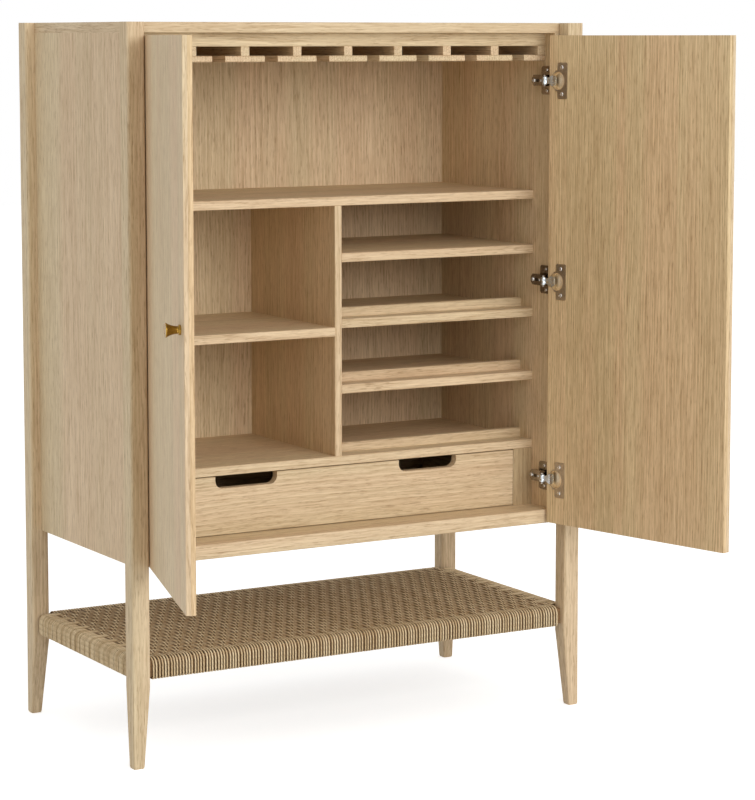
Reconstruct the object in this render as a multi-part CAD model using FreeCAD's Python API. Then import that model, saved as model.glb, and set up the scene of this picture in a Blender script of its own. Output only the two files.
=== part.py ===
import FreeCAD, Part
import math
import os

# Oak wine cabinet on four full-height posts, with two hinged doors, a drawer and a woven shelf.
# Millimetres, +Z up, front towards -Y. The origin is on the floor, midway between the four feet.

# Overall size
width = 900.0
depth = 460.0
height = 1250.0

# Corner posts, tapered on their two inner faces below the woven shelf
post = 32.0
foot = 20.0
taper_top = 138.0
post_edge = 4.0
foot_edge = 2.5
foot_ease = 2.0
foot_ease_height = 3.0

# Carcass boards
top_thickness = 18.0
bottom_thickness = 25.0
side_thickness = 22.0
side_inset = 18.0
carcass_floor = 339.0
back_thickness = 8.0
board_ease = 1.0

# Shelves and divider
shelf_thickness = 16.0
lower_thickness = 16.0
divider_thickness = 14.0
shelf_setback = 67.0
upper_shelf_top = 946.0
left_shelf_top = 715.0
lower_shelf_top = 485.0
wine_shelf_top = 612.0
wine_shelf_pitch = 117.0
wine_shelf_names = ["wine_shelf_lower", "wine_shelf_upper", "narrow_shelf"]

# Bottle rests, one batten on each shelf that carries bottles
rest_height = 16.0
rest_depth = 18.0
rest_setback = 40.0
rest_ease = 2.0

# Stemware rack under the top
rack_setback = 31.0
rack_rail_height = 23.0
rack_rail_depth = 18.0
rack_spacer = 16.0
rack_slat_thickness = 10.5
rack_slot_gap = 25.0
rack_slots = 8
rack_ease = 1.5

# Drawer
drawer_front_thickness = 16.0
drawer_side_thickness = 14.0
drawer_back_thickness = 12.0
drawer_bottom_thickness = 6.0
drawer_side_height = 80.0
drawer_gap = 1.0
drawer_floor_gap = 1.0
drawer_top_gap = 1.5
drawer_back_gap = 8.0
drawer_groove = 5.0
drawer_groove_lift = 8.0
slip = 0.2
grip_width = 121.0
grip_depth = 21.0
grip_radius = 14.0
grip_spacing = 369.0
filler_width = 40.5
filler_thickness = 16.0
runner_height = 12.0
runner_reach = 7.0
runner_lift = 34.0
runner_clearance = 0.4

# Woven shelf: cord wrapped over four rails
woven_top = 186.0
woven_bottom = 148.0
woven_inset = 8.0
woven_deck = 9.0
cord = 5.0
cord_gap = 0.3
cord_round = 8.0
rail_thickness = 18.0
leg_gap = 0.5

# Doors
door_thickness = 16.0
door_top_gap = 4.0
door_bottom_lift = 3.0
door_side_gap = 2.0
door_middle_gap = 3.0
door_carcass_gap = 4.5
door_edge = 1.2
door_angle_right = 103.4
door_angle_left = 107.0

# Door pivot, measured from the door's hinge edge and its outer face
pivot_from_edge = 10.0
pivot_from_face = 6.0

# Concealed cup hinges
hinge_from_end = 81.0
cup_bore_radius = 17.5
cup_radius = 17.3
cup_inner_radius = 16.4
cup_depth = 11.4
cup_bore_depth = 11.6
cup_floor = 0.8
cup_from_edge = 21.5
flange_near = 21.0
flange_far = 44.0
flange_height = 65.0
flange_thickness = 1.2
flange_corner = 2.0
rim_radius = 18.6
rim_from_edge = 15.0
plate_thickness = 3.0
plate_width = 36.0
plate_height = 51.0
plate_setback = 2.0
plate_corner = 3.0
seat_height = 4.0
seat_width = 14.0
seat_overhang = 5.0
arm_width = 20.0
arm_length = 48.0
arm_rise = 9.0
arm_shoulder = 14.0
arm_throat = 8.0
arm_corner = 6.0
ear_radius = 3.0
ear_gap = 0.3
ear_slot_width = 15.0
pin_radius = 1.5
pin_clearance = 0.05
link_thickness = 2.2
link_turn_share = -0.229
link_angle = 103.4
# Link pin, bend and tip with the door at the link angle, inward from the pivot and behind or before it
link_pin_in = 18.4
link_pin_behind = 12.7
link_bend_in = 11.2
link_bend_before = 2.0
link_tip_in = 3.2
link_tip_before = 1.2
screw_from_rear = 7.0
screw_head_radius = 4.2
screw_head_height = 2.2
screw_radius = 2.5
screw_length = 7.0
screw_clearance = 0.05
screw_seat_gap = 0.1

# Turned knob
knob_height_from_middle = -5.0
knob_from_edge = 34.0
knob_base_radius = 8.2
knob_base_height = 3.8
knob_neck_radius = 6.0
knob_flare_radius = 11.6
knob_flare_height = 22.4
knob_waist_radius = 7.6
knob_waist_height = 13.4
knob_rim = 2.0
knob_flare_steps = 4

# One overrun serves every cut
overrun = 1.0

# Turns in degrees
full_turn = 360.0
quarter_turn = 90.0

# Places that follow from the sizes above
half_width = width / 2
half_depth = depth / 2
post_inner_x = half_width - post
post_inner_y = half_depth - post
side_outer = half_width - side_inset
inner_half = side_outer - side_thickness
top_under = height - top_thickness
bottom_top = carcass_floor + bottom_thickness
front_plane = -post_inner_y
back_plane = post_inner_y
back_face = back_plane - back_thickness
shelf_front = front_plane + shelf_setback
upper_under = upper_shelf_top - shelf_thickness
lower_under = lower_shelf_top - lower_thickness
divider_half = divider_thickness / 2
drawer_half_width = inner_half - filler_width - drawer_gap
door_inner_face = front_plane - door_carcass_gap
door_outer_face = door_inner_face - door_thickness
door_hinge_edge = post_inner_x - door_side_gap
door_free_edge = door_middle_gap / 2
door_top = top_under - door_top_gap
door_bottom = carcass_floor + door_bottom_lift
door_middle = (door_top + door_bottom) / 2
pivot_x = door_hinge_edge - pivot_from_edge
pivot_y = door_outer_face + pivot_from_face
hinge_heights = [door_bottom + hinge_from_end, door_middle, door_top - hinge_from_end]
hinge_names = ["lower", "middle", "upper"]
sides = {"left": -1, "right": 1}
open_angle = {"left": door_angle_left, "right": door_angle_right}

Z_AXIS = FreeCAD.Vector(0, 0, 1)
ORIGIN = FreeCAD.Vector(0, 0, 0)
link_pin = FreeCAD.Vector(pivot_x - link_pin_in, pivot_y + link_pin_behind, 0)
link_bend = FreeCAD.Vector(pivot_x - link_bend_in, pivot_y - link_bend_before, 0)
link_tip = FreeCAD.Vector(pivot_x - link_tip_in, pivot_y - link_tip_before, 0)
corner_mid_share = 1 - math.sqrt(2) / 2
octagon_share = math.tan(math.pi / 8)


def block(x0, x1, y0, y1, z0, z1):
    """A box between two corners."""
    return Part.makeBox(x1 - x0, y1 - y0, z1 - z0, FreeCAD.Vector(x0, y0, z0))


def along(edge, axis):
    """True where a straight edge runs along the named axis."""
    step = edge.Vertexes[-1].Point - edge.Vertexes[0].Point
    size = {"x": abs(step.x), "y": abs(step.y), "z": abs(step.z)}
    return size[axis] == max(size.values())


def eased(shape, axis, ease):
    """The shape with a small chamfer on every edge that runs along one axis."""
    return shape.makeChamfer(ease, [e for e in shape.Edges if along(e, axis)])


def front_eased(shape, axis, ease):
    """The shape with a small chamfer on the front edges that run along one axis."""
    front = shape.BoundBox.YMin + ease
    edges = [e for e in shape.Edges if along(e, axis) and e.BoundBox.YMax < front]
    return shape.makeChamfer(ease, edges)


def mirrored(shape, side):
    """The right-hand shape as it is, or its mirror image for the left."""
    if side > 0:
        return shape
    return shape.mirror(ORIGIN, FreeCAD.Vector(1, 0, 0))


def prism(points, z0, z1):
    """A closed outline in plan, raised from z0 to z1."""
    corners = [FreeCAD.Vector(x, y, z0) for x, y in points]
    face = Part.Face(Part.makePolygon(corners + corners[:1]))
    return face.extrude(FreeCAD.Vector(0, 0, z1 - z0))


def rounded_square(x0, y0, size, radius, z):
    """A square wire with round corners, from its low corner."""
    mid = radius * corner_mid_share
    x1 = x0 + size
    y1 = y0 + size
    runs = [
        ((x0 + radius, y0), (x1 - radius, y0), (x1 - mid, y0 + mid)),
        ((x1, y0 + radius), (x1, y1 - radius), (x1 - mid, y1 - mid)),
        ((x1 - radius, y1), (x0 + radius, y1), (x0 + mid, y1 - mid)),
        ((x0, y1 - radius), (x0, y0 + radius), (x0 + mid, y0 + mid)),
    ]
    edges = []
    for number, (start, end, turn) in enumerate(runs):
        after = runs[(number + 1) % len(runs)][0]
        a, b, m, c = [FreeCAD.Vector(x, y, z) for x, y in (start, end, turn, after)]
        edges.append(Part.LineSegment(a, b).toShape())
        edges.append(Part.Arc(b, m, c).toShape())
    return Part.Wire(edges)


def corner_post():
    """The right back post: straight outside, tapered on its two inner faces towards the foot."""
    outer_x = half_width
    outer_y = half_depth
    stations = [
        (0, foot - foot_ease, foot_edge, foot_ease / 2),
        (foot_ease_height, foot, foot_edge, 0),
        (taper_top, post, post_edge, 0),
        (height, post, post_edge, 0),
    ]
    wires = []
    for z, size, radius, inset in stations:
        x0 = outer_x - size - inset
        y0 = outer_y - size - inset
        wires.append(rounded_square(x0, y0, size, radius, z))
    return Part.makeLoft(wires, True, True)


def posts():
    """Four posts from one shape, mirrored to the corners."""
    right_back = corner_post()
    right_front = right_back.mirror(ORIGIN, FreeCAD.Vector(0, 1, 0))
    made = {}
    for name, side in sides.items():
        made["post_back_" + name] = mirrored(right_back, side)
        made["post_front_" + name] = mirrored(right_front, side)
    return made


def carcass():
    """Top, sides, bottom and back of the case, held between the posts."""
    top = block(-side_outer, side_outer, front_plane, back_plane, top_under, height)
    bottom = block(-inner_half, inner_half, front_plane, back_plane, carcass_floor, bottom_top)
    back = block(-inner_half, inner_half, back_face, back_plane, bottom_top, top_under)
    made = {
        "top_board": eased(top, "x", board_ease),
        "bottom_board": front_eased(bottom, "x", board_ease),
        "back_panel": back,
    }
    for name, side in sides.items():
        panel = block(inner_half, side_outer, front_plane, back_plane, carcass_floor, top_under)
        made["side_panel_" + name] = mirrored(panel, side)
    return made


def shelf(x0, x1, top, thickness):
    """One shelf board from the shelf front to the back panel."""
    board = block(x0, x1, shelf_front, back_face, top - thickness, top)
    return front_eased(board, "x", board_ease)


def shelves():
    """The fixed shelves and the divider that carries the short ones."""
    made = {
        "upper_shelf": shelf(-inner_half, inner_half, upper_shelf_top, shelf_thickness),
        "lower_shelf": shelf(-inner_half, inner_half, lower_shelf_top, lower_thickness),
        "left_shelf": shelf(-inner_half, -divider_half, left_shelf_top, shelf_thickness),
    }
    divider = block(-divider_half, divider_half, shelf_front, back_face, lower_shelf_top, upper_under)
    made["divider"] = front_eased(divider, "z", board_ease)
    for number, name in enumerate(wine_shelf_names):
        top = wine_shelf_top + number * wine_shelf_pitch
        made[name] = shelf(divider_half, inner_half, top, shelf_thickness)
    return made


def bottle_rests():
    """A batten across each bottle shelf, a little behind its front edge."""
    tops = {
        "bottle_rest_lower": lower_shelf_top,
        "bottle_rest_middle": wine_shelf_top,
        "bottle_rest_upper": wine_shelf_top + wine_shelf_pitch,
    }
    front = shelf_front + rest_setback
    made = {}
    for name, z in tops.items():
        batten = block(divider_half, inner_half, front, front + rest_depth, z, z + rest_height)
        upper = [e for e in batten.Edges if along(e, "x") and e.BoundBox.ZMin > z]
        made[name] = batten.makeChamfer(rest_ease, upper)
    return made


def glass_rack():
    """Two rails under the top, spacers below them and slats that leave the stem slots."""
    front = front_plane + rack_setback
    rail_under = top_under - rack_rail_height
    spacer_under = rail_under - rack_spacer
    slat_under = spacer_under - rack_slat_thickness
    pitch = (2 * inner_half - rack_spacer) / rack_slots
    front_rail = block(-inner_half, inner_half, front, front + rack_rail_depth, rail_under, top_under)
    rear = back_face - rack_rail_depth
    back_rail = block(-inner_half, inner_half, rear, back_face, rail_under, top_under)
    spacers = []
    slats = []
    for number in range(rack_slots + 1):
        middle = -inner_half + rack_spacer / 2 + number * pitch
        x0 = middle - rack_spacer / 2
        spacers.append(block(x0, x0 + rack_spacer, front, back_face, spacer_under, rail_under))
        reach = (pitch - rack_slot_gap) / 2
        left = max(middle - reach, -inner_half)
        right = min(middle + reach, inner_half)
        slat = block(left, right, front, back_face, slat_under, spacer_under)
        slats.append(front_eased(slat, "x", rack_ease))
    return {
        "rack_rail_front": front_eased(front_rail, "x", board_ease),
        "rack_rail_back": back_rail,
        "rack_spacers": Part.makeCompound(spacers),
        "rack_slats": Part.makeCompound(slats),
    }


def grip_cut(middle, top):
    """A hand cut-out with round lower corners, cut down from the drawer front's top edge."""
    half = grip_width / 2
    low = top - grip_depth
    y0 = shelf_front - overrun
    y1 = shelf_front + drawer_front_thickness + overrun
    tool = block(middle - half, middle + half, y0, y1, low, top + grip_depth)
    lower = [e for e in tool.Edges if along(e, "y") and e.BoundBox.ZMax < top]
    return tool.makeFillet(grip_radius, lower)


def drawer():
    """Front, two grooved sides, back and a loose bottom panel."""
    front_low = bottom_top + drawer_floor_gap
    front_high = lower_under - drawer_top_gap
    front_back = shelf_front + drawer_front_thickness
    box_back = back_face - drawer_back_gap
    side_low = front_low
    side_high = side_low + drawer_side_height
    inner = drawer_half_width - drawer_side_thickness
    panel_low = side_low + drawer_groove_lift
    panel_high = panel_low + drawer_bottom_thickness
    back_front = box_back - drawer_back_thickness
    front = block(-drawer_half_width, drawer_half_width, shelf_front, front_back, front_low, front_high)
    front = front_eased(front, "x", board_ease)
    for place in (-grip_spacing / 2, grip_spacing / 2):
        front = front.cut(grip_cut(place, front_high))
    groove_half = inner + drawer_groove
    panel_groove = block(-groove_half, groove_half, front_back - drawer_groove, front_back + overrun,
                         panel_low - slip, panel_high + slip)
    made = {
        "drawer_front": front.cut(panel_groove),
        "drawer_back": block(-inner, inner, back_front, box_back, panel_high + slip, side_high),
        "drawer_bottom": block(-groove_half + slip, groove_half - slip,
                               front_back - drawer_groove + slip, box_back, panel_low, panel_high),
    }
    runner_low = side_low + runner_lift
    runner_cut = block(drawer_half_width - runner_reach, drawer_half_width + overrun,
                       front_back - overrun, box_back + overrun,
                       runner_low - runner_clearance, runner_low + runner_height + runner_clearance)
    bottom_cut = block(inner - overrun, groove_half, front_back - overrun, box_back + overrun,
                       panel_low - slip, panel_high + slip)
    side_board = block(inner, drawer_half_width, front_back, box_back, side_low, side_high)
    side_board = side_board.cut(runner_cut).cut(bottom_cut)
    for name, side in sides.items():
        made["drawer_side_" + name] = mirrored(side_board, side)
    return made


def drawer_bay():
    """Filler stiles beside the drawer and the wooden runners that they carry."""
    inner = drawer_half_width + drawer_gap
    carrier = inner + filler_thickness
    stile_back = shelf_front + filler_thickness
    outline = [
        (inner, shelf_front),
        (inner_half, shelf_front),
        (inner_half, stile_back),
        (carrier, stile_back),
        (carrier, back_face),
        (inner, back_face),
    ]
    runner_low = bottom_top + drawer_floor_gap + runner_lift
    reach = drawer_gap + runner_reach - runner_clearance
    runner = block(inner - reach, inner, stile_back, back_face, runner_low, runner_low + runner_height)
    filler = prism(outline, bottom_top, lower_under)
    made = {}
    for name, side in sides.items():
        made["drawer_filler_" + name] = mirrored(filler, side)
        made["drawer_runner_" + name] = mirrored(runner, side)
    return made


def cord_tube(x0, x1, y0, y1, axis):
    """The outside of the cord round one rail, with soft long edges."""
    tube = block(x0, x1, y0, y1, woven_bottom, woven_top)
    return tube.makeFillet(cord_round, [e for e in tube.Edges if along(e, axis)])


def rail_hole(rail, axis):
    """The room for one rail inside the cord, open at both ends."""
    box = rail.BoundBox
    gap_x = overrun if axis == "x" else cord_gap
    gap_y = overrun if axis == "y" else cord_gap
    return block(box.XMin - gap_x, box.XMax + gap_x, box.YMin - gap_y, box.YMax + gap_y,
                 box.ZMin - cord_gap, box.ZMax + cord_gap)


def woven_shelf():
    """Four rails between the legs and the cord deck that wraps over them."""
    skin = cord + cord_gap
    rail_low = woven_bottom + skin
    rail_high = woven_top - skin
    outer_y = half_depth - woven_inset
    outer_x = half_width - woven_inset
    inner_y = outer_y - 2 * skin - rail_thickness
    inner_x = outer_x - 2 * skin - rail_thickness
    reach_x = post_inner_x - leg_gap
    reach_y = post_inner_y - leg_gap
    long_rail = block(-post_inner_x, post_inner_x, inner_y + skin, outer_y - skin, rail_low, rail_high)
    short_rail = block(inner_x + skin, outer_x - skin, -post_inner_y, post_inner_y, rail_low, rail_high)
    made = {
        "shelf_rail_back": long_rail,
        "shelf_rail_front": long_rail.mirror(ORIGIN, FreeCAD.Vector(0, 1, 0)),
        "shelf_rail_left": mirrored(short_rail, sides["left"]),
        "shelf_rail_right": short_rail,
    }
    weave = block(-reach_x, reach_x, -reach_y, reach_y, woven_top - woven_deck, woven_top)
    weave = weave.multiFuse([
        cord_tube(-reach_x, reach_x, inner_y, outer_y, "x"),
        cord_tube(-reach_x, reach_x, -outer_y, -inner_y, "x"),
        cord_tube(inner_x, outer_x, -reach_y, reach_y, "y"),
        cord_tube(-outer_x, -inner_x, -reach_y, reach_y, "y"),
    ])
    weave = weave.cut([
        rail_hole(made["shelf_rail_back"], "x"),
        rail_hole(made["shelf_rail_front"], "x"),
        rail_hole(made["shelf_rail_left"], "y"),
        rail_hole(made["shelf_rail_right"], "y"),
    ])
    made["woven_shelf"] = weave.removeSplitter()
    return made


def swung(shape, name):
    """A right-hand piece drawn with the door shut, opened to its rest angle and set on its side."""
    shape = shape.copy()
    shape.rotate(FreeCAD.Vector(pivot_x, pivot_y, 0), Z_AXIS, open_angle[name])
    return mirrored(shape, sides[name])


def door_panel():
    """The right door, shut: a plain slab with round vertical edges and three cup bores."""
    slab = block(door_free_edge, door_hinge_edge, door_outer_face, door_inner_face, door_bottom, door_top)
    slab = slab.makeFillet(door_edge, [e for e in slab.Edges if along(e, "z")])
    cup_x = door_hinge_edge - cup_from_edge
    inward = FreeCAD.Vector(0, 1, 0)
    for z in hinge_heights:
        mouth = FreeCAD.Vector(cup_x, door_inner_face - cup_bore_depth, z)
        bore = Part.makeCylinder(cup_bore_radius, cup_bore_depth + overrun, mouth, inward)
        slab = slab.cut(bore)
    return slab


def hinge_cup(z):
    """A pressed cup in its bore with the flange that screws it to the door."""
    cup_x = door_hinge_edge - cup_from_edge
    out = FreeCAD.Vector(0, 1, 0)
    base = door_inner_face - cup_depth
    shell = Part.makeCylinder(cup_radius, cup_depth, FreeCAD.Vector(cup_x, base, z), out)
    x0 = door_hinge_edge - flange_far
    x1 = door_hinge_edge - flange_near
    flange = block(x0, x1, door_inner_face, door_inner_face + flange_thickness,
                   z - flange_height / 2, z + flange_height / 2)
    flange = eased(flange, "y", flange_corner)
    rim = Part.makeCylinder(rim_radius, flange_thickness, FreeCAD.Vector(cup_x, door_inner_face, z), out)
    spare = block(door_hinge_edge - rim_from_edge, door_hinge_edge + rim_radius, door_inner_face,
                  door_inner_face + flange_thickness, z - rim_radius, z + rim_radius)
    hollow = Part.makeCylinder(cup_inner_radius, cup_depth + overrun + flange_thickness,
                               FreeCAD.Vector(cup_x, base + cup_floor, z), out)
    return shell.multiFuse([flange, rim.cut(spare)]).cut(hollow).removeSplitter()


def knob():
    """The right knob, shut: a turned trumpet on a round foot, on the door's outer face."""
    crown = knob_flare_height + knob_rim
    neck = FreeCAD.Vector(knob_neck_radius, 0, knob_base_height)
    waist = FreeCAD.Vector(knob_waist_radius, 0, knob_waist_height)
    flare = FreeCAD.Vector(knob_flare_radius, 0, knob_flare_height)
    foot_low = FreeCAD.Vector(knob_base_radius, 0, 0)
    foot_high = FreeCAD.Vector(knob_base_radius, 0, knob_base_height)
    outline = [ORIGIN, foot_low, foot_high]
    outline += Part.Arc(neck, waist, flare).toShape().discretize(Number=knob_flare_steps)
    outline += [FreeCAD.Vector(knob_flare_radius, 0, crown), FreeCAD.Vector(0, 0, crown)]
    profile = Part.makePolygon(outline + [ORIGIN])
    body = Part.Face(profile).revolve(ORIGIN, Z_AXIS, full_turn)
    body.rotate(ORIGIN, FreeCAD.Vector(1, 0, 0), quarter_turn)
    body.translate(FreeCAD.Vector(door_free_edge + knob_from_edge, door_outer_face,
                                  door_middle + knob_height_from_middle))
    return body


def doors():
    """Both doors with their knobs and hinge cups, standing open."""
    panel = door_panel()
    cups = Part.makeCompound([hinge_cup(z) for z in hinge_heights])
    handle = knob()
    made = {}
    for name in sides:
        made["door_" + name] = swung(panel, name)
        made["knob_" + name] = swung(handle, name)
        made["hinge_cups_" + name] = swung(cups, name)
    return made


def hinge_plate(z):
    """A cross-shaped base plate on the side panel, with a raised seat for the arm."""
    y0 = front_plane + plate_setback
    y1 = y0 + plate_width
    x0 = inner_half - plate_thickness
    plate = block(x0, inner_half, y0, y1, z - plate_height / 2, z + plate_height / 2)
    plate = eased(plate, "x", plate_corner)
    seat = block(x0 - seat_height, x0, y0, y1 + seat_overhang, z - seat_width / 2, z + seat_width / 2)
    return plate.fuse(seat).removeSplitter()


def hinge_screw_place(z):
    """Where the adjusting screw stands on the back end of a hinge arm."""
    arm_x = inner_half - plate_thickness - seat_height - arm_rise
    rear = front_plane + plate_setback + arm_length
    return FreeCAD.Vector(arm_x, rear - screw_from_rear, z)


def hinge_arm(z):
    """The arm on its plate, cranked out to two ears that hold the link pin."""
    base = inner_half - plate_thickness - seat_height
    top = base - arm_rise
    front = front_plane + plate_setback
    rear = front + arm_length
    flat = ear_radius * octagon_share
    outline = [
        (base, rear),
        (top, rear),
        (top, front + arm_shoulder),
        (link_pin.x - ear_radius, link_pin.y + flat),
        (link_pin.x - ear_radius, link_pin.y - flat),
        (link_pin.x - flat, link_pin.y - ear_radius),
        (link_pin.x + flat, link_pin.y - ear_radius),
        (link_pin.x + ear_radius, link_pin.y - flat),
        (base, front + arm_throat),
    ]
    low = z - arm_width / 2
    high = z + arm_width / 2
    arm = prism(outline, low, high)
    ends = [e for e in arm.Edges if along(e, "x") and e.BoundBox.YMin > rear - arm_corner]
    arm = arm.makeChamfer(arm_corner, ends)
    slot = ear_slot_width / 2 + ear_gap
    room = 2 * ear_radius
    fork = block(link_pin.x - room, link_pin.x + room, link_pin.y - room,
                 link_pin.y + ear_radius + link_thickness, z - slot, z + slot)
    pin = Part.makeCylinder(pin_radius, arm_width, link_pin + FreeCAD.Vector(0, 0, low))
    screw = hinge_screw_place(z)
    hole = Part.makeCylinder(screw_radius + screw_clearance, screw_length + screw_clearance + overrun,
                             screw - FreeCAD.Vector(overrun, 0, 0), FreeCAD.Vector(1, 0, 0))
    return arm.cut([fork, hole]).fuse(pin).removeSplitter()


def hinge_link(z):
    """The bent link from the arm's pin into the cup, as it stands at the link angle."""
    low = z - ear_slot_width / 2
    high = z + ear_slot_width / 2
    half = link_thickness / 2
    first = (link_bend - link_pin).normalize()
    second = (link_tip - link_bend).normalize()
    across_first = FreeCAD.Vector(-first.y, first.x, 0)
    across_second = FreeCAD.Vector(-second.y, second.x, 0)
    mitre = (across_first + across_second) * (half / (1 + across_first.dot(across_second)))
    corners = [
        link_pin + across_first * half,
        link_bend + mitre,
        link_tip + across_second * half,
        link_tip - across_second * half,
        link_bend - mitre,
        link_pin - across_first * half,
    ]
    strip = prism([(c.x, c.y) for c in corners], low, high)
    eye = Part.makeCylinder(ear_radius, high - low, link_pin + FreeCAD.Vector(0, 0, low))
    bore = Part.makeCylinder(pin_radius + pin_clearance, high - low + 2 * overrun,
                             link_pin + FreeCAD.Vector(0, 0, low - overrun))
    return strip.fuse(eye).cut(bore).removeSplitter()


def hinge_screw(z):
    """A hinge's adjusting screw: a flat head and a plain shank."""
    place = hinge_screw_place(z)
    outward = FreeCAD.Vector(1, 0, 0)
    head_foot = place - outward * (screw_head_height + screw_seat_gap)
    head = Part.makeCylinder(screw_head_radius, screw_head_height, head_foot, outward)
    shank_foot = place - outward * screw_seat_gap
    shank = Part.makeCylinder(screw_radius, screw_length, shank_foot, outward)
    return head.fuse(shank).removeSplitter()


def hinges():
    """Plates, arms and screws on the side panels, and the links that follow the doors."""
    plates = Part.makeCompound([hinge_plate(z) for z in hinge_heights])
    arms = Part.makeCompound([hinge_arm(z) for z in hinge_heights])
    links = Part.makeCompound([hinge_link(z) for z in hinge_heights])
    made = {}
    for name, side in sides.items():
        turned = links.copy()
        turned.rotate(link_pin, Z_AXIS, link_turn_share * (open_angle[name] - link_angle))
        made["hinge_plates_" + name] = mirrored(plates, side)
        made["hinge_arms_" + name] = mirrored(arms, side)
        made["hinge_links_" + name] = mirrored(turned, side)
        for level, z in zip(hinge_names, hinge_heights):
            made["hinge_screw_" + name + "_" + level] = mirrored(hinge_screw(z), side)
    return made


def cabinet():
    """Every piece by name."""
    pieces = {}
    for group in (posts, carcass, shelves, bottle_rests, glass_rack, drawer, drawer_bay,
                  woven_shelf, doors, hinges):
        pieces.update(group())
    return pieces


os.makedirs("parts", exist_ok=True)
for node, shape in cabinet().items():
    shape.exportStep(os.path.join("parts", node + ".step"))
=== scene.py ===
"""Wine cabinet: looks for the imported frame.

Metres, with the origin on the floor under the middle and the front towards -Y.
Outlines of the knobs, the hinge pieces and the weave are in millimetres.
"""
import math
import random

import bpy
import numpy as np
from mathutils import Matrix, Vector


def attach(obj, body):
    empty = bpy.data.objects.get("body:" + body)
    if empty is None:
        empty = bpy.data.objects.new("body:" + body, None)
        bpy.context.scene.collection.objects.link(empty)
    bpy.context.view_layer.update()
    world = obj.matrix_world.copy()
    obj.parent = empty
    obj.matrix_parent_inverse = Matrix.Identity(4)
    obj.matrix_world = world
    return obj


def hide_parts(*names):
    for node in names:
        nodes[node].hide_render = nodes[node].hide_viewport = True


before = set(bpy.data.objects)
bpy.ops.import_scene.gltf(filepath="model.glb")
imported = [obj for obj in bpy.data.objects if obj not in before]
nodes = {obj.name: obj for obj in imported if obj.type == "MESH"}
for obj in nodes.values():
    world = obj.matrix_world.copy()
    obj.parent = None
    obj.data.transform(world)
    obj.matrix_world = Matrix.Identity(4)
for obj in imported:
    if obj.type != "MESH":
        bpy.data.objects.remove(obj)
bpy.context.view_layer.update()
MM = 0.001


def tint(red, green, blue):
    """A colour as it looks on screen, turned into linear light."""
    def channel(v):
        v = v / 255
        return v / 12.92 if v <= 0.04045 else ((v + 0.055) / 1.055) ** 2.4
    return (channel(red), channel(green), channel(blue), 1.0)


# The doors: shapes are drawn on the right-hand door as if shut, then swung to rest.
PIVOT = Vector((0.406, -0.2125, 0.0))
REST = {"right": math.radians(103.4), "left": math.radians(107.0)}
HINGE_EDGE = 0.416
HINGES = {"lower": 0.423, "middle": 0.785, "upper": 1.147}
DOOR_INNER_FACE = -0.2025
DOOR_OUTER_FACE = -0.2185
DOOR_MIDDLE = (DOOR_INNER_FACE + DOOR_OUTER_FACE) / 2
INTO_CASE = (0, 1, 0)
FROM_HINGE = (-1, 0, 0)


def swung(side):
    return Matrix.Translation(PIVOT) @ Matrix.Rotation(REST[side], 4, "Z") @ Matrix.Translation(-PIVOT)


def door_line(side, direction, depth):
    """A direction on a door and a point of its hinge edge at that depth, both given as if shut, at rest."""
    way = Matrix.Rotation(REST[side], 3, "Z") @ Vector(direction)
    spot = swung(side) @ Vector((HINGE_EDGE, depth, 0.0))
    if side == "left":
        way.x, spot.x = -way.x, -spot.x
    return way, spot


class Shader:
    """A material under construction: most methods add one node and give its output socket."""

    def __init__(self, name):
        self.material = bpy.data.materials.new(name)
        self.material.use_nodes = True
        self.tree = self.material.node_tree
        self.tree.nodes.clear()
        self.surface = self.add("ShaderNodeBsdfPrincipled")
        self.link(self.surface.outputs[0], self.add("ShaderNodeOutputMaterial").inputs[0])

    def add(self, kind, **settings):
        node = self.tree.nodes.new(kind)
        for key, value in settings.items():
            setattr(node, key, value)
        return node

    def link(self, source, socket):
        self.tree.links.new(source, socket)

    def feed(self, socket, value):
        if isinstance(value, bpy.types.NodeSocket):
            self.link(value, socket)
        else:
            socket.default_value = value

    def place(self):
        return self.add("ShaderNodeTexCoord").outputs["Object"]

    def split(self, vector):
        node = self.add("ShaderNodeSeparateXYZ")
        self.link(vector, node.inputs[0])
        return node.outputs

    def join(self, parts):
        node = self.add("ShaderNodeCombineXYZ")
        for socket, part in zip(node.inputs, parts):
            self.link(part, socket)
        return node.outputs[0]

    def math(self, operation, a, b=0.0):
        node = self.add("ShaderNodeMath", operation=operation)
        self.feed(node.inputs[0], a)
        self.feed(node.inputs[1], b)
        return node.outputs[0]

    def vector(self, operation, a, b=(0.0, 0.0, 0.0)):
        node = self.add("ShaderNodeVectorMath", operation=operation)
        self.feed(node.inputs[0], a)
        self.feed(node.inputs[1], b)
        return node.outputs["Value" if operation in ("LENGTH", "DOT_PRODUCT") else 0]

    def noise(self, where, scale, detail=2.0, rough=0.5, colour=False):
        """Noise with its own scale along each axis."""
        node = self.add("ShaderNodeTexNoise")
        self.link(self.vector("MULTIPLY", where, scale), node.inputs["Vector"])
        node.inputs["Scale"].default_value = 1.0
        node.inputs["Detail"].default_value = detail
        node.inputs["Roughness"].default_value = rough
        return node.outputs[1 if colour else 0]

    def span(self, value, low, high, to_low=0.0, to_high=1.0):
        node = self.add("ShaderNodeMapRange", interpolation_type="SMOOTHSTEP")
        for socket, v in zip(node.inputs, (value, low, high, to_low, to_high)):
            self.feed(socket, v)
        return node.outputs[0]

    def mix(self, share, a, b, blend="MIX"):
        node = self.add("ShaderNodeMix", data_type="RGBA", blend_type=blend)
        self.feed(node.inputs[0], share)
        self.feed(node.inputs[6], a)
        self.feed(node.inputs[7], b)
        return node.outputs[2]

    def bump(self, height, distance, strength):
        node = self.add("ShaderNodeBump")
        node.inputs["Strength"].default_value = strength
        node.inputs["Distance"].default_value = distance
        self.link(height, node.inputs["Height"])
        self.link(node.outputs[0], self.surface.inputs["Normal"])

    def set(self, **values):
        for key, value in values.items():
            self.feed(self.surface.inputs[key.replace("_", " ")], value)


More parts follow.
